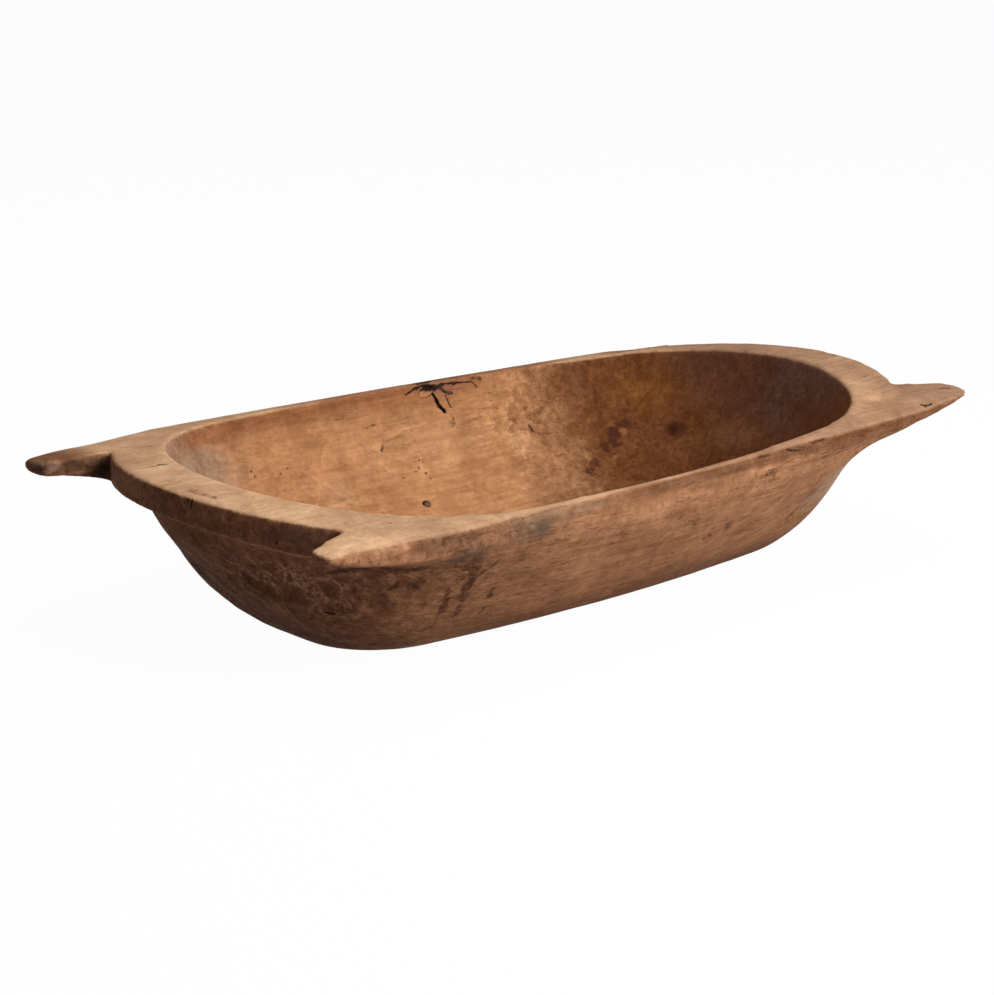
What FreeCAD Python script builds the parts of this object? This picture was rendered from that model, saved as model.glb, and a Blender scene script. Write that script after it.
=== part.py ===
"""Dough trough hewn from one half log: a flat-bottomed hull, four horns to lift it by, and two knots.

Millimetres, +Z up, X along the trough, origin under its middle on the ground.
"""

import FreeCAD, Part
import math
import os

import Sketcher
from FreeCAD import Vector

SIZES = {
    # Opening of the hollow at the lip: half length and half width. Other plan sizes count from them.
    "opening_length": 432,
    "opening_width": 261,
    # Top of the rim above the ground, and the arch of the rim across the trough.
    "rim_height": 200,
    "crown_radius": 1695,
    # How far the shapes that are cut away reach past the wood.
    "cut_spare": 180,
    # Hull sections from the ground up: rise above the ground or drop below the rim, how far each lies out
    # and wide of the opening, by what share its ends' radius is over its half width, its corners' radius
    # against the rest of its half width, and the share of its half width by which its sides fall back.
    "base_rise": 0,
    "base_out": -106,
    "base_wide": -143,
    "base_end": 1.20,
    "base_corner": 2.28,
    "base_side": 0.214,
    "heel_rise": 16,
    "heel_out": -78,
    "heel_wide": -103,
    "heel_end": 0.65,
    "heel_corner": 1.87,
    "heel_side": 0.220,
    "bilge_rise": 45,
    "bilge_out": -41,
    "bilge_wide": -69,
    "bilge_end": 0.88,
    "bilge_corner": 2.00,
    "bilge_side": 0.249,
    "waist_drop": 100,
    "waist_out": -4,
    "waist_wide": -23,
    "waist_end": 0.101,
    "waist_corner": 3.95,
    "waist_side": 0.220,
    "chest_drop": 62,
    "chest_out": 18,
    "chest_wide": 1,
    "chest_end": 0.088,
    "chest_corner": 1.91,
    "chest_side": 0.121,
    "shelf_drop": 45,
    "shelf_out": 30,
    "shelf_wide": 6,
    "shelf_end": 1.10,
    "shelf_corner": 0.543,
    "shelf_side": 0.062,
    "flare_drop": 33,
    "flare_out": 57,
    "flare_wide": 14,
    "flare_end": 1.86,
    "flare_corner": 0.224,
    "flare_side": 0.051,
    "brim_drop": 22,
    "brim_out": 106,
    "brim_wide": 26,
    "brim_end": 1.30,
    "brim_corner": 0.168,
    "brim_side": 0.054,
    "over_drop": -15,
    "over_out": 203,
    "over_wide": 40,
    "over_end": 3.23,
    "over_corner": 0.217,
    "over_side": 0.069,
    # Hollow sections from the floor up, with the same meanings.
    "floor_rise": 28,
    "floor_out": -170,
    "floor_wide": -148,
    "floor_end": 0.140,
    "floor_corner": 3.76,
    "floor_side": 0.2,
    "sole_rise": 36,
    "sole_out": -142,
    "sole_wide": -121,
    "sole_end": 0.107,
    "sole_corner": 4.00,
    "sole_side": 0.23,
    "belly_rise": 70,
    "belly_out": -80,
    "belly_wide": -69,
    "belly_end": 0.068,
    "belly_corner": 4.18,
    "belly_side": 0.262,
    "cheek_drop": 75,
    "cheek_out": -32,
    "cheek_wide": -29,
    "cheek_end": 0.056,
    "cheek_corner": 4.26,
    "cheek_side": 0.246,
    "lip_drop": 10,
    "lip_end": 0.054,
    "lip_corner": 4.21,
    "lip_side": 0.235,
    "mouth_drop": -30,
    "mouth_out": 16,
    "mouth_wide": 11,
    "mouth_end": 0.055,
    "mouth_corner": 4.24,
    "mouth_side": 0.233,
    # Rim seen from above: its width beside the opening at the middle of each side and end.
    "front_band": 5,
    "back_band": 18,
    "left_band": 67,
    "right_band": 68,
    # Each horn: shoulder where it leaves the side, nose, the nose's two corners, and the notch to the end,
    # all counted outward from the opening's half length and half width.
    "front_left_shoulder_x": -117,
    "front_left_shoulder_y": 2,
    "front_left_outer_x": 38,
    "front_left_outer_y": -13,
    "front_left_nose_x": 46,
    "front_left_nose_y": -26,
    "front_left_inner_x": 43,
    "front_left_inner_y": -40,
    "front_left_notch_x": -12,
    "front_left_notch_y": -60,
    "front_right_shoulder_x": -32,
    "front_right_shoulder_y": 4,
    "front_right_outer_x": 50,
    "front_right_outer_y": -3,
    "front_right_nose_x": 69,
    "front_right_nose_y": -24,
    "front_right_inner_x": 56,
    "front_right_inner_y": -55,
    "front_right_notch_x": 8,
    "front_right_notch_y": -80,
    "back_right_shoulder_x": -92,
    "back_right_shoulder_y": 1,
    "back_right_outer_x": 14,
    "back_right_outer_y": -17,
    "back_right_nose_x": 29,
    "back_right_nose_y": -35,
    "back_right_inner_x": 20,
    "back_right_inner_y": -54,
    "back_right_notch_x": -12,
    "back_right_notch_y": -69,
    "back_left_shoulder_x": -102,
    "back_left_shoulder_y": 10,
    "back_left_outer_x": 85,
    "back_left_outer_y": -50,
    "back_left_nose_x": 106,
    "back_left_nose_y": -77,
    "back_left_inner_x": 80,
    "back_left_inner_y": -95,
    "back_left_notch_x": 15,
    "back_left_notch_y": -91,
    # Dead branch knot through the back wall, leaning along the log at a drop below the arched rim, and a
    # pin knot low in the same wall.
    "wall_knot_x": 82,
    "wall_knot_wide": 1,
    "wall_knot_drop": 10.6,
    "wall_knot_lean": 58,
    "wall_knot_radius": 6.5,
    "wall_knot_taper": 0.8,
    "wall_knot_reach": 60,
    "pin_knot_x": 2,
    "pin_knot_wide": -88,
    "pin_knot_rise": 54.5,
    "pin_knot_dip": 140,
    "pin_knot_radius": 5,
    "pin_knot_taper": 1,
    "pin_knot_depth": 14,
    "pin_knot_reach": 12,
    # Bark has shrunk away round both knots by this much.
    "knot_gap": 0.2,
}

HULL = ["base", "heel", "bilge", "waist", "chest", "shelf", "flare", "brim", "over"]
HOLLOW = ["floor", "sole", "belly", "cheek", "lip", "mouth"]
# Corners of the rim in order round the trough, each with the signs of its X and Y.
CORNERS = [("front_left", -1, -1), ("front_right", 1, -1), ("back_right", 1, 1), ("back_left", -1, 1)]

doc = FreeCAD.newDocument("wooden_trough")
sheet = doc.addObject("Spreadsheet::Sheet", "Sizes")
for row, (name, value) in enumerate(SIZES.items(), start=1):
    sheet.set(f"A{row}", name)
    sheet.set(f"B{row}", str(value))
    sheet.setAlias(f"B{row}", name)
doc.recompute()


def size(name):
    return float(sheet.get(name))


def outward(name, along):
    """A plan size counted from the opening's half length or half width, as its value and its formula."""
    return size(f"opening_{along}") + size(name), f"(Sizes.opening_{along} + Sizes.{name})"


def level(name):
    """Formula of a height: a rise above the ground or a drop below the rim."""
    return f"Sizes.{name}_rise" if f"{name}_rise" in SIZES else f"Sizes.rim_height - Sizes.{name}_drop"


def plane(body, role):
    return next(o for o in body.Origin.OriginFeatures if o.Role == role)


def new_sketch(body, name, role):
    sketch = body.newObject("Sketcher::SketchObject", name)
    sketch.AttachmentSupport = [(plane(body, role), "")]
    sketch.MapMode = "FlatFace"
    return sketch


def drive(sketch, constraint, formula):
    """Adds a dimension and binds it to the sheet."""
    index = sketch.addConstraint(constraint)
    sketch.setExpression(f"Constraints[{index}]", formula)


def place(sketch, curve, end, x_formula, y_formula, x, y):
    """Holds one end of a curve at a point given by two formulas."""
    drive(sketch, Sketcher.Constraint("DistanceX", -1, 1, curve, end, x), x_formula)
    drive(sketch, Sketcher.Constraint("DistanceY", -1, 1, curve, end, y), y_formula)


def arc(x, y, radius, start, end):
    return Part.ArcOfCircle(Part.Circle(Vector(x, y, 0), Vector(0, 0, 1), radius), start, end)


def arc_through(start, middle, end):
    return Part.Arc(Vector(*start, 0), Vector(*middle, 0), Vector(*end, 0))


def oval(body, name):
    """Level section of eight tangent arcs: two ends, two sides and four corners."""
    sketch = new_sketch(body, name, "XY_Plane")
    sketch.setExpression("AttachmentOffset.Base.z", level(name))
    if name == "lip":
        length, length_formula = size("opening_length"), "Sizes.opening_length"
        width, width_formula = size("opening_width"), "Sizes.opening_width"
    else:
        length, length_formula = outward(f"{name}_out", "length")
        width, width_formula = outward(f"{name}_wide", "width")
    over, share, fall = (size(f"{name}_{part}") for part in ("end", "corner", "side"))
    end, corner, side = width * (1 + over), width * share / (1 + share), length**2 / (2 * width * fall)
    radius_formulas = {
        "end": f"{width_formula} * (1 + Sizes.{name}_end)",
        "corner": f"{width_formula} * Sizes.{name}_corner / (1 + Sizes.{name}_corner)",
        "side": f"{length_formula} ^ 2 / (2 * {width_formula} * Sizes.{name}_side)",
    }

    # A corner's centre lies where the circles of end and side, shrunk by its radius, cross.
    end_x, side_y = length - end, width - side
    apart = math.hypot(end_x, side_y)
    along = ((end - corner) ** 2 - (side - corner) ** 2 + apart**2) / (2 * apart)
    off = math.sqrt((end - corner) ** 2 - along**2)
    crossings = [
        (end_x - (along * end_x + turn * side_y) / apart, (along * side_y - turn * end_x) / apart)
        for turn in (off, -off)
    ]
    corner_x, corner_y = max(crossings, key=sum)
    low = math.atan2(corner_y, corner_x - end_x)
    high = math.atan2(corner_y - side_y, corner_x)

    pi = math.pi
    sketch.addGeometry(
        [
            arc(end_x, 0, end, -low, low),
            arc(corner_x, corner_y, corner, low, high),
            arc(0, side_y, side, high, pi - high),
            arc(-corner_x, corner_y, corner, pi - high, pi - low),
            arc(-end_x, 0, end, pi - low, pi + low),
            arc(-corner_x, -corner_y, corner, pi + low, pi + high),
            arc(0, -side_y, side, pi + high, 2 * pi - high),
            arc(corner_x, -corner_y, corner, 2 * pi - high, 2 * pi - low),
        ],
        False,
    )
    for curve in range(8):
        sketch.addConstraint(Sketcher.Constraint("Tangent", curve, 2, (curve + 1) % 8, 1))
    for curve, axis in ((0, -1), (4, -1), (2, -2), (6, -2)):
        sketch.addConstraint(Sketcher.Constraint("PointOnObject", curve, 3, axis))
    alike = ((0, [4], end, "end"), (2, [6], side, "side"), (1, [3, 5, 7], corner, "corner"))
    for first, others, radius, part in alike:
        for other in others:
            sketch.addConstraint(Sketcher.Constraint("Equal", first, other))
        drive(sketch, Sketcher.Constraint("Radius", first, radius), radius_formulas[part])
    for curve, kind, share, across in (
        (0, "DistanceX", end_x, f"{length_formula} - {radius_formulas['end']}"),
        (4, "DistanceX", -end_x, f"{radius_formulas['end']} - {length_formula}"),
        (2, "DistanceY", side_y, f"{width_formula} - {radius_formulas['side']}"),
        (6, "DistanceY", -side_y, f"{radius_formulas['side']} - {width_formula}"),
    ):
        drive(sketch, Sketcher.Constraint(kind, -1, 1, curve, 3, share), across)
    return sketch


def loft(body, kind, name, sections):
    feature = body.newObject(f"PartDesign::{kind}Loft", name)
    feature.Profile = sections[0]
    feature.Sections = sections[1:]
    feature.Ruled = False
    return feature


def rim_plan(body):
    """Everything outside the rim as seen from above: a frame round the outline with its four horns."""
    sketch = new_sketch(body, "rim_plan", "XY_Plane")

    def spot(corner, part):
        """A named point of one horn, with the formulas of its coordinates."""
        name, sign_x, sign_y = corner
        x, x_formula = outward(f"{name}_{part}_x", "length")
        y, y_formula = outward(f"{name}_{part}_y", "width")
        return sign_x * x, sign_y * y, f"{sign_x} * {x_formula}", f"{sign_y} * {y_formula}"

    def passes(curve, x, y, x_formula, y_formula):
        """Makes an arc run through a point."""
        point = sketch.addGeometry(Part.Point(Vector(x, y, 0)), True)
        place(sketch, point, 1, x_formula, y_formula, x, y)
        sketch.addConstraint(Sketcher.Constraint("PointOnObject", point, 1, curve))

    front, front_formula = outward("front_band", "width")
    right, right_formula = outward("right_band", "length")
    back, back_formula = outward("back_band", "width")
    left, left_formula = outward("left_band", "length")
    bows = {
        "front_left": (0, -front, "0", f"-{front_formula}"),
        "front_right": (right, 0, right_formula, "0"),
        "back_right": (0, back, "0", back_formula),
        "back_left": (-left, 0, f"-{left_formula}", "0"),
    }
    # Round the outline: a side ends at the next corner's shoulder, an end at the next corner's notch.
    onward = ["notch", "inner", "nose", "outer", "shoulder"]
    route = []
    for corner in CORNERS:
        parts = onward if corner[0] in ("front_left", "back_right") else onward[::-1]
        points = {part: spot(corner, part) for part in onward}
        route.append((corner[0], [points[part] for part in parts]))

    curves = []
    for index, (name, points) in enumerate(route):
        first, second, nose, third, last = points
        entry = sketch.addGeometry(Part.LineSegment(Vector(*first[:2], 0), Vector(*second[:2], 0)), False)
        tip = sketch.addGeometry(arc_through(second[:2], nose[:2], third[:2]), False)
        leave = sketch.addGeometry(Part.LineSegment(Vector(*third[:2], 0), Vector(*last[:2], 0)), False)
        following = route[(index + 1) % 4][1][0]
        bow = sketch.addGeometry(arc_through(last[:2], bows[name][:2], following[:2]), False)
        curves.append((entry, tip, leave, bow))

    def ends(curve, point):
        """Which end of a curve lies at a point."""
        shape = sketch.Geometry[curve]
        return 1 if shape.StartPoint.distanceToPoint(Vector(*point[:2], 0)) < 1e-3 else 2

    for index, (name, points) in enumerate(route):
        entry, tip, leave, bow = curves[index]
        first, second, nose, third, last = points
        following = route[(index + 1) % 4][1][0]
        after = curves[(index + 1) % 4][0]
        for one, other, point in (
            (entry, tip, second),
            (tip, leave, third),
            (leave, bow, last),
            (bow, after, following),
        ):
            join = Sketcher.Constraint("Coincident", one, ends(one, point), other, ends(other, point))
            sketch.addConstraint(join)
        for curve, point in ((entry, first), (entry, second), (leave, third), (leave, last)):
            place(sketch, curve, ends(curve, point), point[2], point[3], point[0], point[1])
        passes(tip, *nose[:2], *nose[2:])
        passes(bow, *bows[name][:2], *bows[name][2:])

    # Frame well outside the widest part of the hull.
    far_x = outward("over_out", "length")[0] + size("cut_spare")
    far_y = outward("over_wide", "width")[0] + size("cut_spare")
    spots = [(-far_x, -far_y), (far_x, -far_y), (far_x, far_y), (-far_x, far_y)]
    frame = [
        sketch.addGeometry(Part.LineSegment(Vector(*spots[k], 0), Vector(*spots[(k + 1) % 4], 0)), False)
        for k in range(4)
    ]
    for k in range(4):
        sketch.addConstraint(Sketcher.Constraint("Coincident", frame[k], 2, frame[(k + 1) % 4], 1))
        mark_x, mark_y = ("-" if value < 0 else "" for value in spots[k])
        x_formula = f"{mark_x}(Sizes.opening_length + Sizes.over_out + Sizes.cut_spare)"
        y_formula = f"{mark_y}(Sizes.opening_width + Sizes.over_wide + Sizes.cut_spare)"
        place(sketch, frame[k], 1, x_formula, y_formula, *spots[k])
    return sketch


def crown(body):
    """Section across the trough of what is taken off above the arched rim."""
    sketch = new_sketch(body, "crown", "YZ_Plane")
    sketch.setExpression("AttachmentOffset.Base.y", "Sizes.rim_height")
    half, half_formula = outward("over_wide", "width")
    half, half_formula = half + size("cut_spare"), f"({half_formula} + Sizes.cut_spare)"
    radius = size("crown_radius")
    drop = radius - math.sqrt(radius**2 - half**2)
    corners = [Vector(x, y, 0) for x, y in ((half, -drop), (half, half), (-half, half), (-half, -drop))]
    lean = math.asin(half / radius)
    bow = sketch.addGeometry(arc(0, -radius, radius, math.pi / 2 - lean, math.pi / 2 + lean), False)
    right, top, left = (
        sketch.addGeometry(Part.LineSegment(corners[k], corners[k + 1]), False) for k in range(3)
    )
    for join in ((bow, 1, right, 1), (right, 2, top, 1), (top, 2, left, 1), (left, 2, bow, 2)):
        sketch.addConstraint(Sketcher.Constraint("Coincident", *join))
    sketch.addConstraint(Sketcher.Constraint("PointOnObject", bow, 3, -2))
    drive(sketch, Sketcher.Constraint("Radius", bow, radius), "Sizes.crown_radius")
    drive(sketch, Sketcher.Constraint("DistanceY", -1, 1, bow, 3, -radius), "-Sizes.crown_radius")
    drive(sketch, Sketcher.Constraint("DistanceX", -1, 1, bow, 1, half), half_formula)
    drive(sketch, Sketcher.Constraint("DistanceX", -1, 1, bow, 2, -half), f"-{half_formula}")
    place(sketch, top, 1, half_formula, half_formula, half, half)
    place(sketch, top, 2, f"-{half_formula}", half_formula, -half, half)
    return sketch


def volume_drops(feature, before):
    """A cut that misses the wood shows no error, so its volume is compared."""
    doc.recompute()
    after = feature.Shape.Volume
    if not 0 < after < before - 1:
        raise RuntimeError(f"{feature.Name} took nothing off")
    return after


def hewn_log():
    """Hull flared out at the rim, sawn to the rim's outline, arched on top and hollowed."""
    body = doc.addObject("PartDesign::Body", "hewn_log")
    hull = loft(body, "Additive", "hull", [oval(body, name) for name in HULL])
    doc.recompute()
    volume = hull.Shape.Volume

    plan = rim_plan(body)
    sawn = body.newObject("PartDesign::Pocket", "sawn_outline")
    sawn.Profile = plan
    sawn.Type = "ThroughAll"
    sawn.Reversed = True
    volume = volume_drops(sawn, volume)

    arched = body.newObject("PartDesign::Pocket", "arched_rim")
    arched.Profile = crown(body)
    arched.Type = "ThroughAll"
    arched.Midplane = True
    volume = volume_drops(arched, volume)

    hollow = loft(body, "Subtractive", "hollow", [oval(body, name) for name in HOLLOW])
    volume_drops(hollow, volume)
    return body


def knot_cone(name, knot, turn, start, length, gap):
    """Tapered branch stub, its axis turned by yaw and roll, wider by the gap where it is a socket."""
    cone = doc.addObject("Part::Cone", name)
    cone.setExpression("Radius1", f"Sizes.{knot}_radius + {gap}")
    cone.setExpression("Radius2", f"Sizes.{knot}_radius * Sizes.{knot}_taper + {gap}")
    cone.setExpression("Height", f"{start} + {length}")
    across = f"(Sizes.opening_width + Sizes.{knot}_wide)"
    arch = f"Sizes.crown_radius - sqrt(Sizes.crown_radius ^ 2 - {across} ^ 2)"
    height = f"{level(knot)} - ({arch})" if f"{knot}_drop" in SIZES else level(knot)
    spot = f"create(<<vector>>; Sizes.{knot}_x; {across}; {height})"
    back = f"create(<<vector>>; 0; 0; -({start}))"
    cone.setExpression(
        "Placement",
        f"create(<<placement>>; {spot}; create(<<rotation>>; {turn}))"
        f" * create(<<placement>>; {back}; create(<<rotation>>; 0; 0; 0))",
    )
    return cone


def boolean(kind, name, base, tool):
    result = doc.addObject(f"Part::{kind}", name)
    result.Base, result.Tool = base, tool
    return result


log = hewn_log()
knots = {
    "wall_knot": ("-Sizes.wall_knot_lean; 0; -90", "Sizes.wall_knot_reach", "Sizes.wall_knot_reach"),
    "pin_knot": ("0; 0; -Sizes.pin_knot_dip", "Sizes.pin_knot_reach", "Sizes.pin_knot_depth"),
}
nodes = {}
wood = log
for knot, (turn, start, length) in knots.items():
    stub = knot_cone(f"{knot}_stub", knot, turn, start, length, "0")
    socket = knot_cone(f"{knot}_hole", knot, turn, start, length, "Sizes.knot_gap")
    wood = boolean("Cut", f"log_less_{knot}", wood, socket)
    nodes[knot] = boolean("Common", knot, stub, log)
nodes["trough_body"] = wood
for name, node in nodes.items():
    node.Label = name
doc.recompute()

for item in doc.Objects:
    if "Invalid" in item.State or "Error" in item.State:
        raise RuntimeError(f"{item.Name} failed: {item.State}")
for name, node in nodes.items():
    if node.Shape.isNull() or not node.Shape.isValid() or len(node.Shape.Solids) != 1:
        raise RuntimeError(f"{name} is not one sound solid")

os.makedirs("parts", exist_ok=True)
for name, node in nodes.items():
    node.Shape.exportStep(f"parts/{name}.step")
    print(f"{name}: {node.Shape.Volume / 1000:.1f} cm3")
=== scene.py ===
import itertools
import math
from collections import namedtuple

import bmesh
import bpy
import numpy as np
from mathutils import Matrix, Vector


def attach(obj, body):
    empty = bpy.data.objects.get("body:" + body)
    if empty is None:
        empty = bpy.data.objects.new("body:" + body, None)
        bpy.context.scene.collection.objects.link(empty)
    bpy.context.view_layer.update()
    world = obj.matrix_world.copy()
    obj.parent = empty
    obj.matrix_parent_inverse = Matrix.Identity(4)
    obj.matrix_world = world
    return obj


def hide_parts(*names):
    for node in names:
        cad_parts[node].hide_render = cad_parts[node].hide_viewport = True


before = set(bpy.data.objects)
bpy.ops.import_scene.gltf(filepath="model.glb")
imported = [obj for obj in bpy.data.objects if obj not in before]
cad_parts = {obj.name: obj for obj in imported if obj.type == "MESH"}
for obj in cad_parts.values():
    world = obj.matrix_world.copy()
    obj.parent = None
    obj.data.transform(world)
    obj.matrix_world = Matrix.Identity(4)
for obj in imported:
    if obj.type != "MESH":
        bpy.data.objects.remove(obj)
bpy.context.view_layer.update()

scene = bpy.context.scene
scene.view_settings.view_transform = "Standard"

# Dresses the trough's three solids as worn, hewn wood and sets up the photograph's plain studio.
# Sizes below are in millimetres unless a name says otherwise; the scene itself is in metres.
MM = 0.001
RIM_TOP = 200.0
CROWN_RADIUS = 1695.0
# Rim and horns lie above the first height, the walls of the hollow above the second.
RIM_ZONE = 120.0
HOLLOW_FLOOR = 20.0
# The underside stays flat up to the first height, and the hull's own unevenness is full from the second.
BASE_EDGE = 2.0
BASE_BLEND = 14.0
# Half length and half width of the opening at the rim, and the power of its rounded oval.
OPENING_LENGTH = 437.0
OPENING_WIDTH = 263.0
OPENING_POWER = 2.6
# How far out, on the scale of reach(), a point can still belong to the hollow.
HOLLOW_REACH = 1.04
# As the log dried, the rim twisted: each corner moved up or down by its length times its width times this.
TWIST = -5.66e-5
TWIST_FULL_HEIGHT = 150.0
# The rim of the right end and of the back beside it stayed this much higher.
RIGHT_LIFT = 2.8
# Grids of the even meshes, and the trough's triangles before its marks are refined.
VOXEL = 2.7
KNOT_VOXEL = 0.8
TRIANGLES = 145_000
# All faces are kept on slopes this close below the rim's top.
RIM_BAND = 20.0
# Vertices closer than this many metres are one.
WELD_METRES = 2e-6
# Sizes of the adze's facets on the hull and of the wider scoops in the hollow.
FACET_SIZE = (20, 19, 27)
SCOOP_SIZE = (75, 60, 45)
# One fixed seed, or a set of them, for each noise.
SEED_FACETS = 5
SEED_SCOOPS = 9
SEED_WAVES = 21
SEED_LUMPS = 22
SEED_PATCHY = 31
SEED_PATCH_EDGE = 33
SEED_MARK_EDGE = 41
SEED_KNOT = 51
SEEDS_WANDER = (61, 62, 63)
OCTAVE_SEEDS = 17


def scatter(ix, iy, iz, seed):
    """A fixed pseudo-random number from 0 to 1 for each lattice point."""
    h = ix.astype(np.uint32) * np.uint32(374761393) + iy.astype(np.uint32) * np.uint32(668265263)
    h = h + iz.astype(np.uint32) * np.uint32(2246822519) + np.uint32((seed * 3266489917) % 2**32)
    h = (h ^ (h >> np.uint32(13))) * np.uint32(1274126177)
    h = (h ^ (h >> np.uint32(16))) * np.uint32(2654435769)
    return (h ^ (h >> np.uint32(15))).astype(np.float64) / 2**32


def noise(p, size, seed, octaves=1):
    """Smooth noise from -1 to 1 with features of a given size, which may differ per axis."""
    total = np.zeros(len(p))
    weight = 0.0
    share = 1.0
    for octave in range(octaves):
        q = p / (np.asarray(size, float) / 2**octave)
        base = np.floor(q)
        f = q - base
        f = f * f * f * (f * (6 * f - 15) + 10)
        i = base.astype(np.int64)
        value = np.zeros(len(p))
        for dx, dy, dz in itertools.product((0, 1), repeat=3):
            w = np.where(dx, f[:, 0], 1 - f[:, 0]) * np.where(dy, f[:, 1], 1 - f[:, 1])
            w = w * np.where(dz, f[:, 2], 1 - f[:, 2])
            value += w * scatter(i[:, 0] + dx, i[:, 1] + dy, i[:, 2] + dz, seed + OCTAVE_SEEDS * octave)
        total += share * (2 * value - 1)
        weight += share
        share *= 0.5
    return total / weight


def cells(p, size, seed):
    """Distance to the nearest of scattered points, one in each cell, in units of the cell size."""
    q = p / np.asarray(size, float)
    base = np.floor(q).astype(np.int64)
    near = np.full(len(p), np.inf)
    for offset in itertools.product((-1, 0, 1), repeat=3):
        c = base + np.array(offset)
        jitter = [scatter(c[:, 0], c[:, 1], c[:, 2], seed + k) for k in range(3)]
        near = np.minimum(near, np.linalg.norm(c + np.stack(jitter, 1) - q, axis=1))
    return near


def step(low, high, value):
    """0 at low, 1 at high, smooth between, whichever of the two is larger."""
    t = np.clip((value - low) / (high - low), 0, 1)
    return t * t * (3 - 2 * t)


def spot(p, centre, radii):
    """1 at a centre, falling off to 0 at the radii along X, Y and Z."""
    return step(1.0, 0.2, np.linalg.norm((p - np.array(centre)) / np.array(radii), axis=1))


def mixed(colours, other, share):
    """Colours drawn towards another one by a share for each point."""
    return colours + (np.array(other) - colours) * share[:, None]


def twisted(p):
    """Points moved by the drying twist, and by the lift of the right end."""
    x, y, z = p.T
    back = step(100, 350, x) * step(-60, 90, y) * step(225, 175, y)
    right_end = step(380, 450, x) * step(90, -60, y)
    lift = RIGHT_LIFT * (back + right_end)
    q = p.copy()
    q[:, 2] += (TWIST * x * y + lift) * np.clip(z / TWIST_FULL_HEIGHT, 0, 1)
    return q


def crown(y):
    """Height of the arched rim."""
    return RIM_TOP - CROWN_RADIUS + np.sqrt(CROWN_RADIUS**2 - y**2)


def above_base(z):
    """0 on the flat underside, 1 from a little above it."""
    return step(BASE_EDGE, BASE_BLEND, z)


def link(obj):
    scene.collection.objects.link(obj)
    return obj


def points_of(mesh):
    co = np.zeros(len(mesh.vertices) * 3)
    mesh.vertices.foreach_get("co", co)
    return co.reshape(-1, 3) / MM


def normals_of(mesh):
    n = np.zeros(len(mesh.vertices) * 3, np.float32)
    mesh.vertex_normals.foreach_get("vector", n)
    return n.reshape(-1, 3).astype(float)


def edges_of(mesh):
    e = np.zeros(len(mesh.edges) * 2, np.int32)
    mesh.edges.foreach_get("vertices", e)
    return e.reshape(-1, 2)


def set_points(mesh, p):
    mesh.vertices.foreach_set("co", (p * MM).astype(np.float32).ravel())
    mesh.update()


def beside(values, edges):
    """Mean of each vertex's neighbours, for one column of values or several."""
    columns = values.reshape(len(values), -1)
    count = np.bincount(edges.ravel(), minlength=len(values))
    a, b = edges.T
    sums = [np.bincount(a, c[b], len(c)) + np.bincount(b, c[a], len(c)) for c in columns.T]
    return (np.stack(sums, 1) / count[:, None]).reshape(values.shape)


def eased(p, edges, share, rounds):
    """Points drawn towards their neighbours, by a share that may differ from point to point."""
    for _ in range(rounds):
        p = p + share[:, None] * (beside(p, edges) - p)
    return p


def baked(obj):
    """Replaces an object's mesh by what its modifiers make of it."""
    graph = bpy.context.evaluated_depsgraph_get()
    made = bpy.data.meshes.new_from_object(obj.evaluated_get(graph))
    obj.modifiers.clear()
    obj.data = made


def shade_smooth(mesh):
    mesh.polygons.foreach_set("use_smooth", np.ones(len(mesh.polygons), bool))


def even_mesh(node, name, voxel):
    """A CAD node's shape as an evenly meshed new object."""
    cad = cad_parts[node]
    mesh = cad.data.copy()
    mesh.materials.clear()
    bm = bmesh.new()
    bm.from_mesh(mesh)
    bmesh.ops.remove_doubles(bm, verts=bm.verts, dist=WELD_METRES)
    bm.to_mesh(mesh)
    bm.free()
    made = link(bpy.data.objects.new(name, mesh))
    remesh = made.modifiers.new("even", "REMESH")
    remesh.mode = "VOXEL"
    remesh.voxel_size = voxel * MM
    wrap = made.modifiers.new("true", "SHRINKWRAP")
    wrap.target = cad
    wrap.wrap_method = "NEAREST_SURFACEPOINT"
    baked(made)
    return made


def thin_out(obj, triangles):
    """Fewer faces where the surface is plain, away from the edges of the rim."""
    mesh = obj.data
    mesh.calc_loop_triangles()
    p, n = points_of(mesh), normals_of(mesh)
    near_rim = crown(p[:, 1]) - p[:, 2] < RIM_BAND
    sloping = n[:, 2] < 0.95
    plain = obj.vertex_groups.new(name="plain")
    plain.add(np.flatnonzero(~(near_rim & sloping)).tolist(), 1.0, "REPLACE")
    thin = obj.modifiers.new("thin", "DECIMATE")
    thin.vertex_group = plain.name
    thin.ratio = min(1.0, triangles / len(mesh.loop_triangles))
    baked(obj)
    obj.vertex_groups.clear()


def field(mesh, name, values):
    """Stores one number per vertex for the material."""
    attribute = mesh.attributes.new(name, "FLOAT", "POINT")
    attribute.data.foreach_set("value", values.astype(np.float32))


def tint(mesh, name, colours):
    """Stores one colour per vertex for the material."""
    attribute = mesh.attributes.new(name, "FLOAT_COLOR", "POINT")
    rgba = np.concatenate([colours, np.ones((len(colours), 1))], 1)
    attribute.data.foreach_set("color", rgba.astype(np.float32).ravel())


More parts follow.
